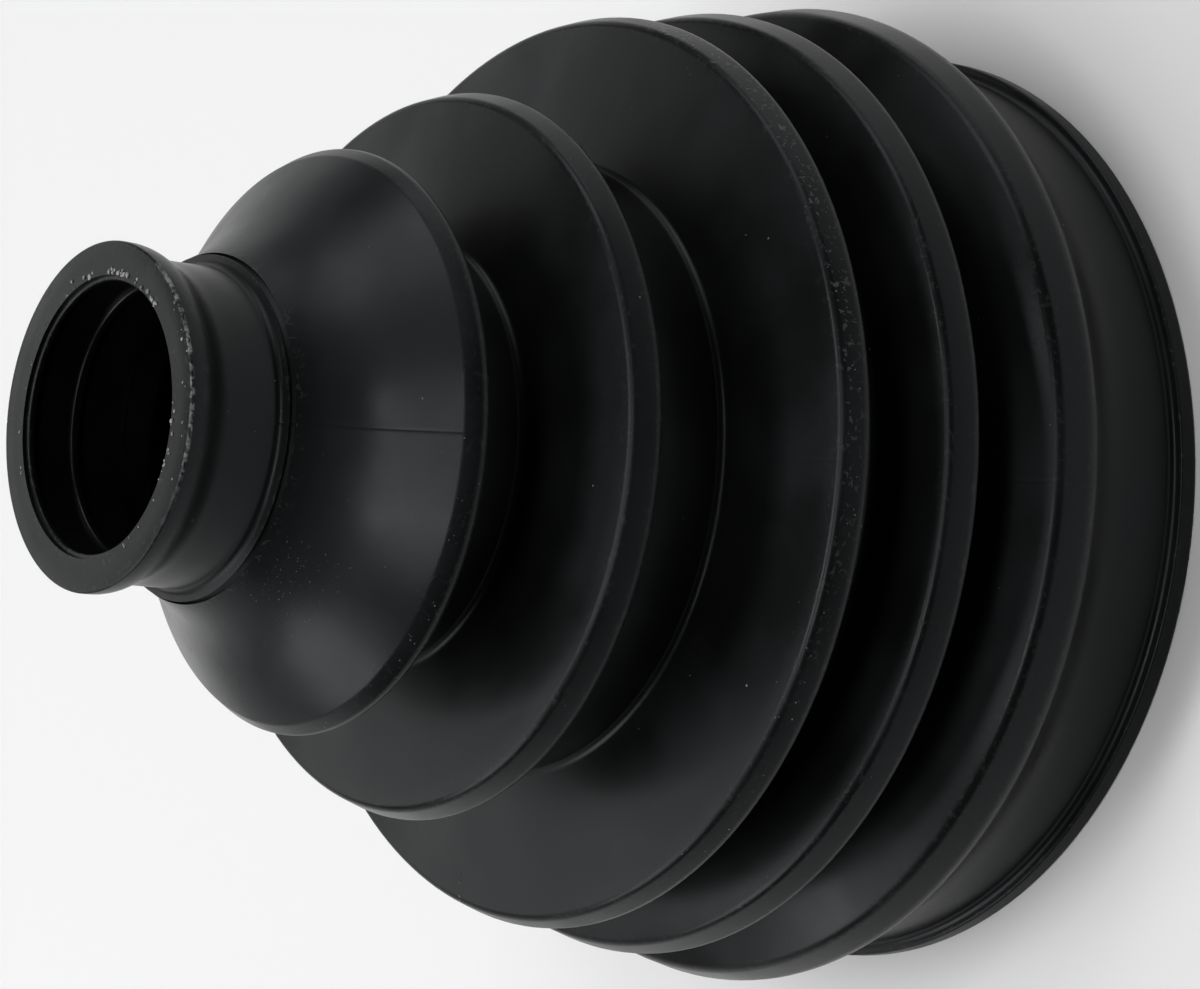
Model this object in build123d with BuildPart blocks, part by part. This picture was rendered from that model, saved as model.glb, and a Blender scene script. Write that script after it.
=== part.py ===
from build123d import *
from math import atan2, hypot, tan
import os

# Rubber bellows boot for a drive-shaft joint, moulded as one piece and round about Z.
# It stands on its large end: Z is 0 at the large-end face and rises to the small end.
# Its half section is drawn in the XZ plane, X being the radius, and turned about Z.
# All sizes are in millimetres. Crests and roots are numbered from the small end.
# A width or run is measured along Z, and a radius at a corner before it is rounded.

wall = 2.0

# Cuff at the large end: its bore, the seat for the clamp band, and an end lip.
# The seat runs out into crest 5 by a long sweep.
cuff_bore_radius = 42.6
cuff_bore_length = 9.5
cuff_wall = 2.7
cuff_seat_width = 8.9
cuff_sweep_rounding = 12.0
cuff_corner_rounding = 0.8
cuff_lip_height = 1.2
cuff_lip_width = 1.9
cuff_lip_rounding = 0.3

# Crest 5, the widest one
crest_5_radius = 49.5
crest_5_width = 3.7
crest_5_back_run = 5.5
crest_5_back_rounding = 2.0
crest_5_edge_rounding = 1.5
crest_5_flank_run = 3.4

# Crests 4 to 1: bands that narrow towards the small end, rounded at both edges
crest_4_radius = 47.1
crest_4_width = 3.1
crest_3_radius = 44.95
crest_3_width = 2.75
crest_2_radius = 35.1
crest_2_width = 2.85
crest_1_radius = 28.0
crest_1_width = 2.1
crest_1_rise = 1.25
crest_rise = 1.0
crest_edge_rounding = 1.0
crest_back_rounding = 0.9

# Each crest drops by a steep flank to a crease, from where a root runs up to the next
flank_run = 1.95
back_run = 3.05
root_45_radius = 40.6
root_45_width = 2.1
root_34_radius = 38.0
root_34_width = 3.3
root_23_radius = 29.6
root_23_width = 8.35
root_12_radius = 20.6
root_12_width = 5.95
root_drop = 0.3
crease_rounding = 0.9
foot_rounding = 0.9

# Bell: from crest 1 in to the neck, hollow at its throat, with at least a short straight
# stretch left between the throat's rounding and the shoulder
bell_flank_run = 6.9
throat_radius = 18.2
throat_run = 4.6
throat_rounding = 20.0
throat_straight = 0.2

# Neck at the small end: its bore, the groove for the clamp band between a shoulder and
# a flared lip, and a fine crease where the bell starts behind the shoulder
neck_bore_radius = 12.9
neck_bore_length = 10.3
neck_wall = 2.0
shoulder_height = 1.1
shoulder_run = 0.35
groove_rounding = 0.9
groove_width = 5.95
flare_run = 2.2
flare_foot_rounding = 5.0
flare_top_rounding = 4.0
neck_lip_height = 1.15
neck_lip_width = 2.0
neck_lip_rounding = 0.25
neck_crease_offset = 0.35
neck_crease_half_width = 0.3
neck_crease_depth = 0.25

# Sealing beads round both bores, flat on top, each placed by the depth of its middle
bead_height = 0.45
bead_width = 0.9
bead_rounding = 0.3
neck_bead_depths = (0.9, 5.6)
cuff_bead_depths = (2.5, 6.5)

# Outer radii of the two clamp-band seats, and of what bounds them
cuff_seat_radius = cuff_bore_radius + cuff_wall
cuff_lip_radius = cuff_seat_radius + cuff_lip_height
groove_radius = neck_bore_radius + neck_wall
shoulder_radius = groove_radius + shoulder_height
neck_lip_radius = groove_radius + neck_lip_height


def bell_rounding():
    """The rounding of the bell's throat, limited by the stretch between it and the shoulder."""
    flank_slope = atan2(crest_1_radius - crest_1_rise - throat_radius, bell_flank_run)
    throat_slope = atan2(throat_radius - shoulder_radius, throat_run)
    room = hypot(throat_radius - shoulder_radius, throat_run) - throat_straight
    return min(throat_rounding, room / tan(abs(flank_slope - throat_slope) / 2))


def outline_corners():
    """Corners of the outer surface as (radius, height, rounding), climbing from the
    cuff's end face to the neck's."""
    folds = (
        # crest radius and width, its back and edge rounding, flank run, root radius and width
        (crest_5_radius, crest_5_width, crest_5_back_rounding, crest_5_edge_rounding,
         crest_5_flank_run, root_45_radius, root_45_width),
        (crest_4_radius, crest_4_width, crest_back_rounding, crest_edge_rounding,
         flank_run, root_34_radius, root_34_width),
        (crest_3_radius, crest_3_width, crest_back_rounding, crest_edge_rounding,
         flank_run, root_23_radius, root_23_width),
        (crest_2_radius, crest_2_width, crest_back_rounding, crest_edge_rounding,
         flank_run, root_12_radius, root_12_width),
    )
    corners = [(cuff_lip_radius, 0, cuff_lip_rounding)]

    def climb(run, radius, rounding=0):
        height = corners[-1][1] + run
        corners.append((radius, height, rounding))

    climb(cuff_lip_width, cuff_lip_radius, cuff_lip_rounding)
    climb(0, cuff_seat_radius, cuff_corner_rounding)
    climb(cuff_seat_width, cuff_seat_radius, cuff_sweep_rounding)
    run_to_crest = crest_5_back_run
    for crest, width, back, edge, run_to_root, root, root_width in folds:
        climb(run_to_crest, crest, back)
        climb(width, crest - crest_rise, edge)
        climb(run_to_root, root, crease_rounding)
        climb(root_width, root - root_drop, foot_rounding)
        run_to_crest = back_run
    climb(run_to_crest, crest_1_radius, crest_back_rounding)
    climb(crest_1_width, crest_1_radius - crest_1_rise, crest_edge_rounding)
    climb(bell_flank_run, throat_radius, bell_rounding())
    climb(throat_run, shoulder_radius)
    climb(shoulder_run, groove_radius, groove_rounding)
    climb(groove_width, groove_radius, flare_foot_rounding)
    climb(flare_run, neck_lip_radius, flare_top_rounding)
    climb(neck_lip_width, neck_lip_radius, neck_lip_rounding)
    return corners


corners = outline_corners()
corner_points = [(radius, height) for radius, height, rounding in corners]
corner_roundings = [rounding for radius, height, rounding in corners]
boot_length = corners[-1][1]
shoulder_top = boot_length - neck_lip_width - flare_run - groove_width - shoulder_run


def bore(radius, length, end_height, inward):
    """Cuts a plain bore in from the end face at end_height, inward being +1 or -1."""
    with Locations((radius / 2, end_height + inward * length / 2)):
        Rectangle(radius, length, mode=Mode.SUBTRACT)


def bead(bore_radius, depth, end_height, inward):
    """Adds the section of a sealing bead to a bore, its other half buried in the wall."""
    with Locations((bore_radius, end_height + inward * depth)):
        RectangleRounded(2 * bead_height, bead_width, bead_rounding)


def crease(radius, height, half_width, depth):
    """Cuts a fine V into a surface that lies at about that radius."""
    Polygon(
        (radius - depth, height),
        (radius + depth, height - 2 * half_width),
        (radius + depth, height + 2 * half_width),
        align=None,
        mode=Mode.SUBTRACT,
    )


# The outer outline, closed along the axis
with BuildSketch() as outside:
    with BuildLine():
        axis_line = Line((0, boot_length), (0, 0))
        FilletPolyline(axis_line @ 1, *corner_points, axis_line @ 0, radius=corner_roundings)
    make_face()

# The hollow of the bellows, one wall inside the outer corners, between the two bores
with BuildSketch() as hollow:
    Polygon(axis_line @ 1, *corner_points, axis_line @ 0, align=None)
    mirror(about=Plane.YZ)
    offset(amount=-wall, kind=Kind.ARC, mode=Mode.REPLACE)
    with Locations((0, cuff_bore_length)):
        Rectangle(
            max(corner_points)[0],
            boot_length - cuff_bore_length - neck_bore_length,
            align=(Align.MIN, Align.MIN),
            mode=Mode.INTERSECT,
        )

with BuildPart() as bellows_boot:
    with BuildSketch(Plane.XZ) as section:
        add(outside)
        add(hollow, mode=Mode.SUBTRACT)
        crease(shoulder_radius, shoulder_top - neck_crease_offset, neck_crease_half_width,
               neck_crease_depth)
        bore(cuff_bore_radius, cuff_bore_length, 0, +1)
        bore(neck_bore_radius, neck_bore_length, boot_length, -1)
        for depth in cuff_bead_depths:
            bead(cuff_bore_radius, depth, 0, +1)
        for depth in neck_bead_depths:
            bead(neck_bore_radius, depth, boot_length, -1)
    revolve(axis=Axis.Z)

os.makedirs("parts", exist_ok=True)
bellows_boot.part.label = "bellows_boot"
export_step(bellows_boot.part, "parts/bellows_boot.step")
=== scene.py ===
# Looks of the rubber bellows boot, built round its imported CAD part.
# Metres, Z up along the boot's axis, the boot standing on its large end. Azimuth 0 is the
# -Y side, which the camera faces, and 90 is the +X side. Crests are numbered from the mouth,
# the open end of the neck.
import math
import random

import bmesh
import bpy
from mathutils import Matrix, Vector


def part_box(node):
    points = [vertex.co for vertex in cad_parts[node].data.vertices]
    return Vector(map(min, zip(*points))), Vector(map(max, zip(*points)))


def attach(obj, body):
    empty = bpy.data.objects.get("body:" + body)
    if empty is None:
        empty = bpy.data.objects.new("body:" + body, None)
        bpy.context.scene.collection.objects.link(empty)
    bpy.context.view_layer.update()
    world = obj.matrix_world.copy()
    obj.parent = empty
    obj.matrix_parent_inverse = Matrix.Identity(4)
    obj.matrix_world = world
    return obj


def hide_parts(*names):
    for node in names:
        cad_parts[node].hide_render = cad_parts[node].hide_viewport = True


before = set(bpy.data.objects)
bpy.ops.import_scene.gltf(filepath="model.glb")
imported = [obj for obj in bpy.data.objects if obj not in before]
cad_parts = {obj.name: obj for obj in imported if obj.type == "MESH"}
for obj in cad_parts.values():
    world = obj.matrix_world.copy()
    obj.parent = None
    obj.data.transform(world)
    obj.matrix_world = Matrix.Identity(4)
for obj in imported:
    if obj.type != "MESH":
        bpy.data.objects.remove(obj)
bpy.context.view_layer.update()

MM = 0.001
HAIR = 0.01 * MM
BOOT = "bellows_boot"
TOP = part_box(BOOT)[1][2]
scene = bpy.context.scene


def around(azimuth, radius, height):
    """The point at an azimuth in degrees, a radius and a height."""
    turn = math.radians(azimuth)
    return Vector((radius * math.sin(turn), -radius * math.cos(turn), height))


def smooth_step(value, start, end):
    """0 at or under start, 1 at or over end, smooth between."""
    part = min(1, max(0, (value - start) / (end - start)))
    return part * part * (3 - 2 * part)


def hump(value, rise_start, rise_end, fall_start, fall_end):
    """Rises smoothly from 0 to 1, stays there and falls smoothly back to 0."""
    return smooth_step(value, rise_start, rise_end) * (1 - smooth_step(value, fall_start, fall_end))


def in_scene(name, data):
    """A new object of the scene, made of this data."""
    thing = bpy.data.objects.new(name, data)
    scene.collection.objects.link(thing)
    return thing


# ---------------------------------------------------------------- the boot's section

TOUCHING = 1e-6
# Points of the cut that agree to this many decimal places are one point
PLACES = 7
SECTION_TOLERANCE = 0.006 * MM
LONGEST_STEP = 1.6 * MM


def half_section(node):
    """The closed half section (radius, height) where the CAD mesh meets the XZ plane on +X.
    It starts on the widest crest and climbs the outside first."""
    cut = bmesh.new()
    cut.from_mesh(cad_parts[node].data)
    bmesh.ops.bisect_plane(cut, geom=cut.verts[:] + cut.edges[:] + cut.faces[:], dist=TOUCHING,
                           plane_co=(0, 0, 0), plane_no=(0, 1, 0),
                           clear_inner=True, clear_outer=True)
    links = {}
    for edge in cut.edges:
        a, b = ((round(v.co.x, PLACES), round(v.co.z, PLACES)) for v in edge.verts)
        if a[0] > 0 and b[0] > 0 and a != b:
            links.setdefault(a, set()).add(b)
            links.setdefault(b, set()).add(a)
    cut.free()
    first = max(links)
    chain = [first, max(links[first], key=lambda point: point[1])]
    while chain[-1] != first:
        chain.append(next(point for point in links[chain[-1]] if point != chain[-2]))
    return chain


def thinned(points, tolerance):
    """The points needed to stay within tolerance of an open chain."""
    a, b = Vector(points[0]), Vector(points[-1])
    side = (b - a).normalized()
    away = [abs((Vector(point) - a).cross(side)) for point in points[1:-1]]
    if not away or max(away) <= tolerance:
        return [points[0], points[-1]]
    middle = away.index(max(away)) + 1
    return thinned(points[:middle + 1], tolerance)[:-1] + thinned(points[middle:], tolerance)


def divided(points, longest):
    """The chain with every straight run cut into pieces no longer than longest."""
    out = [points[0]]
    for a, b in zip(points, points[1:]):
        steps = max(1, math.ceil(math.dist(a, b) / longest))
        for i in range(1, steps + 1):
            out.append((a[0] + (b[0] - a[0]) * i / steps, a[1] + (b[1] - a[1]) * i / steps))
    return out


def even_section(node):
    """The half section with as few points as keep its shape, and none far apart."""
    chain = half_section(node)
    middle = len(chain) // 2
    one_way = thinned(chain[:middle + 1], SECTION_TOLERANCE)
    way_back = thinned(chain[middle:], SECTION_TOLERANCE)
    return divided(one_way[:-1] + way_back, LONGEST_STEP)[:-1]


section = even_section(BOOT)
mouth_start = next(i for i, point in enumerate(section) if point[1] > TOP - TOUCHING)
cuff_end = max(i for i, point in enumerate(section) if point[1] < TOUCHING)


def outside(i):
    """Whether a point of the section is on the boot's outside, end faces left out."""
    return i < mouth_start or i > cuff_end


def slope(a, b):
    """The normal, to the right of the way from a to b."""
    return Vector((b[1] - a[1], a[0] - b[0])).normalized()


def outward(i):
    """The section's outward normal at a point."""
    return slope(section[i - 1], section[(i + 1) % len(section)])


def corner(i):
    """How sharply the section turns outward at a point, in radians, 0 where it turns in."""
    a, b, c = (Vector(section[j % len(section)]) for j in (i - 1, i, i + 1))
    return max(0, -(b - a).angle_signed(c - b))


def surface(azimuth, height):
    """The point of the outside at an azimuth and a height, and its outward normal."""
    for i in range(len(section)):
        low, high = section[i], section[(i + 1) % len(section)]
        if outside(i) and low[1] <= height <= high[1] and high[1] > low[1]:
            radius = low[0] + (high[0] - low[0]) * (height - low[1]) / (high[1] - low[1])
            normal = slope(low, high)
            return around(azimuth, radius, height), around(azimuth, normal.x, normal.y)


# ---------------------------------------------------------------- the boot's skin

# The mouth's face lies a little under the CAD's, so that the flash left on it stays in the
# CAD's box. The drop comes in over this last reach of the neck.
FACE_DROP = 0.2 * MM
FACE_REACH = 1 * MM
# The parting line of the mould's halves: a fine groove down both sides, given across it as
# the way along the surface in millimetres and the share of the groove's depth there
PARTING = ((-0.45, 0), (-0.13, 0), (0, 1), (0.13, 0), (0.45, 0))
PARTING_AZIMUTH = 5
PARTING_FOOT = 2 * MM
# The groove's depth in millimetres on the crests, what the bell adds, and where that comes in
GROOVE_ON_CRESTS = 0.022
GROOVE_ADDED = 0.023
GROOVE_DEEPENS = (68 * MM, 72 * MM)
# How many spans the skin has between one groove and the other
SPREAD = 86
# A corner that turns this far, in radians, shows full wear and the full painted highlight along its
# edge
WORN_AND_HIGHLIGHT_CORNER = 0.25
SHARP_CORNER = math.radians(25)
# Where marks rise and fall, for hump: by height, or by azimuth in degrees
# The bell's band, where its base colour is lifted as a painted highlight and where drag marks show
BELL_HIGHLIGHT_AND_DRAG = (70.8 * MM, 72.4 * MM, 80 * MM, 83.5 * MM)
PITTED_BAND = (40.4 * MM, 41.2 * MM, 42 * MM, 42.7 * MM)
PITTED_SIDE = (-40, 45, 95, 120)
# The side of the mouth's rim that is rubbed pale and painted with a glint
RUBBED_AND_GLINT_SIDE = (-30, 0, 50, 70)
# Only what lies further out than this is pitted, which leaves the inside of the wall clean
PITTED_RADIUS = 43.4 * MM
# The rim is the mouth's face and this much of the outside under it
RIM_BAND = 2 * MM


def columns(radius):
    """Azimuths round the boot at a radius in degrees, with the groove's share at each."""
    out = []
    for side in (PARTING_AZIMUTH, PARTING_AZIMUTH + 180):
        turns = [side + math.degrees(along * MM / radius) for along, share in PARTING]
        out += [(turn, share) for turn, (along, share) in zip(turns, PARTING)]
        end = turns[0] + 180
        out += [(turns[-1] + (end - turns[-1]) * i / SPREAD, 0) for i in range(1, SPREAD)]
    return out


def groove_depth(height):
    """The parting line is deepest on the bell and faint on the crests below it."""
    return (GROOVE_ON_CRESTS + GROOVE_ADDED * smooth_step(height, *GROOVE_DEEPENS)) * MM


def skin_faces(rows, count):
    """Quads between rows of points, closed both ways."""
    faces = []
    for i in range(rows):
        j = (i + 1) % rows
        for k in range(count):
            m = (k + 1) % count
            faces.append((i * count + k, i * count + m, j * count + m, j * count + k))
    return faces


def boot_skin():
    """The section turned round the axis, with the parting line cut in. It carries four attributes
    for its material: the worn convex corners with their painted highlight, the bell's painted
    highlight and drag marks, the pitted band, and the rim."""
    verts = []
    marks = {"edge_wear_and_highlight": [], "bell_highlight_and_drag": [], "pitted": [], "rim": []}
    for i, (radius, height) in enumerate(section):
        normal = outward(i)
        if height > TOP - FACE_REACH:
            height -= FACE_DROP * smooth_step(height, TOP - FACE_REACH, TOP)
        wears = outside(i) or height > TOP - FACE_REACH
        # Wear at the section's convex corners, and a painted highlight along them
        wear_and_highlight = min(1, corner(i) / WORN_AND_HIGHLIGHT_CORNER) if wears else 0
        # The bell's mask: a painted highlight in its base colour, and its drag marks
        bell = hump(height, *BELL_HIGHLIGHT_AND_DRAG) if outside(i) else 0
        band = hump(height, *PITTED_BAND) if radius > PITTED_RADIUS else 0
        depth = groove_depth(height) if outside(i) and height > PARTING_FOOT else 0
        lip = (outside(i) and height > TOP - RIM_BAND) or height > TOP - FACE_DROP - HAIR
        for azimuth, share in columns(radius):
            shift = normal * -depth * share
            turn = (azimuth + 180) % 360 - 180
            verts.append(around(azimuth, radius + shift.x, height + shift.y))
            marks["edge_wear_and_highlight"].append(wear_and_highlight)
            marks["bell_highlight_and_drag"].append(bell)
            marks["pitted"].append(band * hump(turn, *PITTED_SIDE))
            marks["rim"].append(lip * hump(turn, *RUBBED_AND_GLINT_SIDE))
    mesh = bpy.data.meshes.new("boot_skin")
    mesh.from_pydata(verts, [], skin_faces(len(section), len(columns(1))))
    mesh.update()
    mesh.shade_smooth()
    mesh.set_sharp_from_angle(angle=SHARP_CORNER)
    for name, values in marks.items():
        mesh.attributes.new(name, "FLOAT", "POINT").data.foreach_set("value", values)
    return in_scene("boot_skin", mesh)


skin = boot_skin()

# ---------------------------------------------------------------- flash and dust

# Groups of random bits: from and to in azimuth, then in radius on the mouth's face or in
# height on the outside, how many, and the least and most size. All lengths in millimetres.
FLASH = (
    (50, 98, 13.0, 13.5, 24, 0.12, 0.27),
    (104, 128, 13.0, 13.9, 6, 0.12, 0.24),
    (-24, 14, 12.95, 13.4, 14, 0.08, 0.2),
    (-60, -26, 13.0, 13.6, 6, 0.08, 0.16),
    (-20, 45, 14.6, 15.75, 12, 0.06, 0.16),
    (150, 210, 13.0, 13.5, 6, 0.06, 0.12),
)
DUST = (
    (-60, -30, 76.5, 81.5, 130, 0.02, 0.055),  # a patch on the bell
    (-99, -97, 42.5, 43.1, 9, 0.06, 0.16),  # a chip on crest 3's edge
    (30, 62, 11.8, 15.5, 40, 0.03, 0.08),  # on the sweep beside crest 5
    (-70, -5, 70.9, 71.9, 24, 0.03, 0.08),  # along crest 1's edge
    (-80, 75, 40.6, 43, 90, 0.03, 0.08),  # along crest 3
    (0, 360, 6, 90, 260, 0.02, 0.07),  # all over
)
# Specks that stand alone: azimuth and height
SPECKS = (
    (40, 43.7), (37, 43.4), (22, 33.6), (-2, 59.5), (10, 12.1), (4, 71.9), (-38, 71.4),
    (-32, 90.4), (-8, 21.8), (-32, 44.2), (52, 17.2), (50, 15.4), (46, 14.8), (40, 12.4),
    (38, 12.2), (12, 74.4), (28, 57.2),
)
SPECK_SIZE = 0.1
# Bits are flattened to this share of their size, across the surface that they lie on
FLATTENING = 0.7
FULL_TURN = 6.28
FLASH_SEED = 7
DUST_SEED = 23


def scattered(shape, groups):
    """Random spots of groups of bits, each an azimuth, a radius or height, and a size."""
    spots = []
    for start, end, near, far, many, least, most in groups:
        for i in range(many):
            spots.append((shape.uniform(start, end), shape.uniform(near, far),
                          shape.uniform(least, most)))
    return spots


def lump(mesh, shape, size, subdivisions, widths, depths, roughness):
    """Adds an uneven, flattened ball at the origin and returns its vertices."""
    ball = bmesh.ops.create_icosphere(mesh, subdivisions=subdivisions, radius=size)["verts"]
    stretch = Vector((shape.uniform(*widths), shape.uniform(*depths), FLATTENING))
    for vertex in ball:
        vertex.co *= stretch * shape.uniform(*roughness)
    return ball


def any_turn(shape):
    """A random turn about Z."""
    return Matrix.Rotation(shape.uniform(0, FULL_TURN), 3, "Z")


def smooth_piece(name, mesh):
    """A smooth object of the scene made of an edited mesh, which is freed."""
    data = bpy.data.meshes.new(name)
    mesh.to_mesh(data)
    mesh.free()
    data.shade_smooth()
    return in_scene(name, data)


def mouth_flash():
    """Beads and nibs of rubber on the mouth's face, most of them at its inner edge."""
    shape = random.Random(FLASH_SEED)
    mesh = bmesh.new()
    for azimuth, radius, size in scattered(shape, FLASH):
        bead = lump(mesh, shape, size * MM, subdivisions=2, widths=(0.8, 1.4),
                    depths=(0.8, 1.4), roughness=(0.93, 1.07))
        for vertex in bead:
            vertex.co.z = min(vertex.co.z, FACE_DROP - HAIR)
        bmesh.ops.rotate(mesh, verts=bead, matrix=any_turn(shape))
        place = around(azimuth, radius * MM, TOP - FACE_DROP)
        bmesh.ops.translate(mesh, verts=bead, vec=place)
    return smooth_piece("mouth_flash", mesh)


def dust():
    """Specks of dust on the outside, some alone and the rest in groups."""
    shape = random.Random(DUST_SEED)
    mesh = bmesh.new()
    alone = [(azimuth, height, SPECK_SIZE) for azimuth, height in SPECKS]
    for azimuth, height, size in alone + scattered(shape, DUST):
        place, normal = surface(azimuth, height * MM)
        grain = lump(mesh, shape, size * MM, subdivisions=1, widths=(0.7, 1.6),
                     depths=(0.7, 1.2), roughness=(0.85, 1.15))
        turn = normal.to_track_quat("Z", "Y") @ any_turn(shape).to_quaternion()
        bmesh.ops.rotate(mesh, verts=grain, matrix=turn.to_matrix())
        bmesh.ops.translate(mesh, verts=grain, vec=place)
    return smooth_piece("dust", mesh)


flash = mouth_flash()
specks = dust()

# ---------------------------------------------------------------- materials

# Base colours, from clean rubber to its lighter mottling and painted highlights, then scuffs, then
# pale specks, the rubbed rim and its painted glint
DEEP_BLACK = (0.004, 0.0042, 0.0043, 1)
MOTTLE_AND_HIGHLIGHT_BLACK = (0.012, 0.0128, 0.014, 1)
SCUFFED = (0.075, 0.076, 0.068, 1)
PALE_SPECKS_WEAR_AND_GLINT = (0.2, 0.2, 0.19, 1)
COOL_SHEEN = (0.9, 0.96, 1, 1)
# How finely the drag marks repeat round the boot and along it
DRAG_ROUND = 60
DRAG_ALONG = 420
# The mouth's edge, rubbed pale and painted with a glint: the radii and the heights over which it
# comes in
RUBBED_AND_GLINT_RADII = (15.76 * MM, 15.9 * MM)
RUBBED_AND_GLINT_HEIGHTS = (TOP - 0.6 * MM, TOP - 0.4 * MM)


class Nodes:
    """Short calls for building a material's nodes."""

    def __init__(self, name):
        self.material = bpy.data.materials.new(name)
        self.material.use_nodes = True
        self.tree = self.material.node_tree
        self.shader = self.tree.nodes["Principled BSDF"]

    def feed(self, socket, value):
        """Links a socket to another one, or sets it to a plain value."""
        if isinstance(value, bpy.types.NodeSocket):
            self.tree.links.new(value, socket)
        else:
            socket.default_value = value

    def add(self, kind, links=None, **values):
        """A new node, with its settings and plain inputs by name and its links by socket."""
        node = self.tree.nodes.new("ShaderNode" + kind)
        for name, value in values.items():
            if hasattr(node, name):
                setattr(node, name, value)
            else:
                node.inputs[name.replace("_", " ")].default_value = value
        for name, source in (links or {}).items():
            self.tree.links.new(source, node.inputs[name])
        return node

    def noise(self, vector, scale, detail, **values):
        """Noise from 0 to 1 over a vector."""
        node = self.add("TexNoise", {"Vector": vector}, Scale=scale, Detail=detail, **values)
        return node.outputs["Fac"]

    def vector(self, operation, *vectors, **values):
        links = dict(enumerate(vectors))
        return self.add("VectorMath", links, operation=operation, **values).outputs["Vector"]

    def math(self, operation, a, b):
        node = self.add("Math", operation=operation)
        for socket, value in zip(node.inputs, (a, b)):
            self.feed(socket, value)
        return node.outputs[0]

    def times(self, a, b):
        """a times b."""
        return self.math("MULTIPLY", a, b)

    def total(self, first, *others):
        """The sum of the first value and the others, each other one times its weight."""
        for value, weight in others:
            first = self.math("ADD", first, self.times(value, weight))
        return first

    def between(self, value, start, end):
        """0 where value is at or under start, 1 at or over end, smooth between."""
        node = self.add("MapRange", {"Value": value}, interpolation_type="SMOOTHSTEP")
        node.inputs["From Min"].default_value = start
        node.inputs["From Max"].default_value = end
        return node.outputs["Result"]

    def mix(self, share, a, b):
        """The colour that is this share of the way from a to b."""
        node = self.add("Mix", {"Factor": share}, data_type="RGBA", clamp_factor=True)
        first_colour, second_colour = node.inputs[6], node.inputs[7]
        self.feed(first_colour, a)
        self.feed(second_colour, b)
        return node.outputs[2]

    def attribute(self, name):
        return self.add("Attribute", attribute_name=name).outputs["Fac"]

    def place(self):
        return self.add("TexCoord").outputs["Object"]


def black_rubber():
    """The moulded skin: near black and mottled, worn at its edges, with its base colour lifted on
    the bell and along the edges as a painted highlight.
    """
    nodes = Nodes("black_rubber")
    place = nodes.place()
    edge, bell_highlight_and_drag, pitted, rim = (
        nodes.attribute(name) for name in ("edge_wear_and_highlight", "bell_highlight_and_drag", "pitted", "rim"))

    # Noise drawn out along the boot, for the fine drag marks on the bell
    apart = nodes.add("SeparateXYZ", {"Vector": place}).outputs
    flat = nodes.add("CombineXYZ", {"X": apart["X"], "Y": apart["Y"]}).outputs[0]
    spread = nodes.vector("SCALE", nodes.vector("NORMALIZE", flat), Scale=DRAG_ROUND)
    lifted = nodes.add("CombineXYZ", {"Z": nodes.times(apart["Z"], DRAG_ALONG)}).outputs[0]
    drag = nodes.noise(nodes.vector("ADD", spread, lifted), scale=1, detail=4)

    mottle = nodes.noise(place, scale=70, detail=5)
    grain = nodes.noise(place, scale=1500, detail=3)
    ripple = nodes.noise(place, scale=110, detail=2)
    worm = nodes.noise(place, scale=1700, detail=2, Distortion=0.8)

    # Sparse specks: a small dot in one cell of about twenty
    cells = nodes.add("TexVoronoi", {"Vector": place}, Scale=230, Randomness=1)
    chosen = nodes.add("SeparateColor", {"Color": cells.outputs["Color"]}).outputs["Red"]
    dot = nodes.math("SUBTRACT", 1, nodes.between(cells.outputs["Distance"], 0.02, 0.034))
    speck = nodes.times(dot, nodes.between(chosen, 0.95, 0.96))

    # Pits and scuffs, dense on the pitted band of crest 3 and few on the worn edges
    scuffed_share = nodes.math("MAXIMUM", pitted, nodes.times(edge, 0.25))
    scuff = nodes.times(nodes.between(worm, 0.58, 0.66), scuffed_share)

    # The mouth's outer edge, rubbed pale on one side, the pale also a painted glint along it
    away = nodes.add("VectorMath", {0: flat}, operation="LENGTH").outputs["Value"]
    at_edge = nodes.times(nodes.between(away, *RUBBED_AND_GLINT_RADII),
                          nodes.between(apart["Z"], *RUBBED_AND_GLINT_HEIGHTS))
    rubbed_and_glint = nodes.times(nodes.times(rim, at_edge), nodes.between(worm, 0.4, 0.65))

    # Lighter rubber: random mottling, and a painted highlight on the convex corners and on the bell
    mottle_and_highlight = nodes.total(nodes.times(nodes.between(mottle, 0.35, 0.7), 0.35),
                       (edge, 0.2), (bell_highlight_and_drag, nodes.total(0.6, (drag, 0.4))))
    tone = nodes.mix(mottle_and_highlight, DEEP_BLACK, MOTTLE_AND_HIGHLIGHT_BLACK)
    tone = nodes.mix(scuff, tone, SCUFFED)
    # Pale specks, and the rubbed rim with its painted glint
    tone = nodes.mix(nodes.math("MAXIMUM", speck, rubbed_and_glint), tone, PALE_SPECKS_WEAR_AND_GLINT)
    nodes.feed(nodes.shader.inputs["Base Color"], tone)

    rough = nodes.total(0.27, (nodes.between(mottle, 0.3, 0.7), 0.13), (bell_highlight_and_drag, -0.02))
    nodes.feed(nodes.shader.inputs["Roughness"], rough)
    nodes.feed(nodes.shader.inputs["Specular IOR Level"], 0.19)
    nodes.feed(nodes.shader.inputs["Specular Tint"], COOL_SHEEN)

    # The surface's height in millimetres
    height = nodes.total(nodes.times(grain, 0.006), (ripple, 0.05), (scuff, -0.06),
                         (speck, 0.05), (nodes.times(drag, bell_highlight_and_drag), 0.003))
    bump = nodes.add("Bump", {"Height": height}, Strength=1, Distance=MM)
    nodes.feed(nodes.shader.inputs["Normal"], bump.outputs[0])
    return nodes.material


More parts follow.
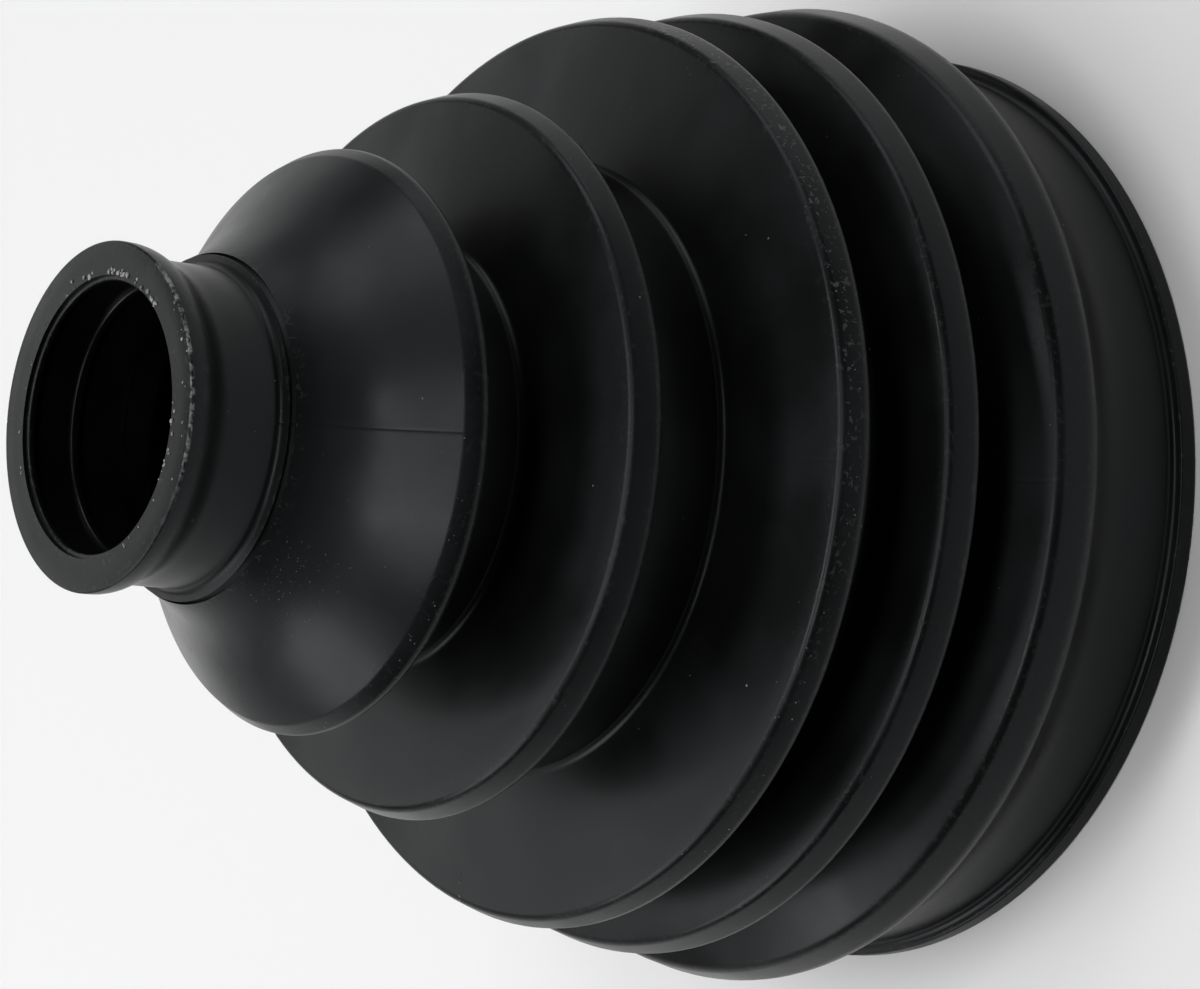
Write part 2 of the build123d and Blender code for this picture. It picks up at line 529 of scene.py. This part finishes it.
def pale_bits(name, dark, pale):
    """Torn flash, and dust: paler than the moulded skin, and patchy. On the flash the pale tone is
    partly a painted glint.
    """
    nodes = Nodes(name)
    patches = nodes.noise(nodes.place(), scale=2500, detail=2)
    tone = nodes.mix(nodes.between(patches, 0.35, 0.6), dark, pale)
    nodes.feed(nodes.shader.inputs["Base Color"], tone)
    nodes.feed(nodes.shader.inputs["Roughness"], nodes.total(0.2, (patches, 0.15)))
    return nodes.material


for piece, material in (
    (skin, black_rubber()),
    # The flash is torn, paler rubber, and its pale tone is partly a painted glint
    (flash, pale_bits("flash_rubber", (0.035, 0.036, 0.038, 1), (0.3, 0.3, 0.3, 1))),
    (specks, pale_bits("dust", (0.03, 0.03, 0.028, 1), (0.16, 0.165, 0.15, 1))),
):
    piece.data.materials.append(material)
    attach(piece, "root")
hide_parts(BOOT)

# ---------------------------------------------------------------- stage, light and camera

FLOOR_HALF = 3
FLOOR_WHITE = (0.88, 0.88, 0.88, 1)
FLOOR_ROUGHNESS = 0.9
STUDIO_GREY = (0.03, 0.03, 0.03, 1)
# Every lamp faces the boot's middle from the same distance
LAMP_AIM = Vector((0, 0, 0.045))
LAMP_DISTANCE = 0.9
LAMPS = (
    # name, azimuth, elevation, width and height, watts
    ("back", 180, 28, (0.9, 0.3), 1.3),
    ("back_left_high", -140, 50, (0.5, 0.4), 1.45),
    ("left_mid", -112, 36, (0.4, 0.35), 1.6),
    ("left_low", -120, 5, (0.5, 0.25), 0.2),
    ("top", 180, 84, (0.7, 0.2), 3.1),
    ("front_top", 0, 65, (0.7, 0.15), 1.7),
    ("front_left", -50, 62, (0.35, 0.2), 0.7),
    ("right", 95, 35, (0.5, 0.4), 1.6),
    ("right_low", 95, 4, (0.5, 0.2), 0.5),
    ("back_left_low", -150, 5, (0.5, 0.25), 0.15),
    ("back_right_low", 150, 5, (0.5, 0.25), 0.3),
)
# The camera's place, its own right and up, lens and sensor width in millimetres. Its third
# axis, right cross up, points backward.
CAMERA_PLACE = (0, -0.32846, 0.2893)
CAMERA_RIGHT = Vector((0.11452307, -0.60700054, -0.78640626))
CAMERA_UP = Vector((0.99340966, 0.07368862, 0.08779087))
CAMERA_LENS = 126
CAMERA_SENSOR = 36


def white_floor():
    """A wide plain floor under the boot."""
    half = FLOOR_HALF
    mesh = bpy.data.meshes.new("floor")
    mesh.from_pydata([(-half, -half, 0), (half, -half, 0), (half, half, 0), (-half, half, 0)],
                     [], [(0, 1, 2, 3)])
    nodes = Nodes("white_floor")
    nodes.feed(nodes.shader.inputs["Base Color"], FLOOR_WHITE)
    nodes.feed(nodes.shader.inputs["Roughness"], FLOOR_ROUGHNESS)
    mesh.materials.append(nodes.material)
    return in_scene("floor", mesh)


def area_light(name, azimuth, elevation, size, power):
    """A soft rectangle facing the boot from an azimuth and an elevation in degrees."""
    above = math.radians(elevation)
    way = around(azimuth, math.cos(above), math.sin(above))
    data = bpy.data.lights.new(name, "AREA")
    data.shape = "RECTANGLE"
    data.size, data.size_y = size
    data.energy = power
    lamp = in_scene(name, data)
    lamp.location = LAMP_AIM + LAMP_DISTANCE * way
    lamp.rotation_euler = (-way).to_track_quat("-Z", "Y").to_euler()
    lamp.visible_camera = False


def set_camera():
    """The camera that the scene is rendered from."""
    data = bpy.data.cameras.new("camera")
    data.sensor_fit = "HORIZONTAL"
    data.sensor_width = CAMERA_SENSOR
    data.lens = CAMERA_LENS
    camera = in_scene("camera", data)
    axes = Matrix((CAMERA_RIGHT, CAMERA_UP, CAMERA_RIGHT.cross(CAMERA_UP))).transposed()
    camera.matrix_world = Matrix.Translation(CAMERA_PLACE) @ axes.to_4x4()
    scene.camera = camera


floor = white_floor()
for lamp in LAMPS:
    area_light(*lamp)
world = bpy.data.worlds.new("studio")
scene.world = world
world.use_nodes = True
world.node_tree.nodes["Background"].inputs["Color"].default_value = STUDIO_GREY
set_camera()
scene.view_settings.view_transform = "Standard"
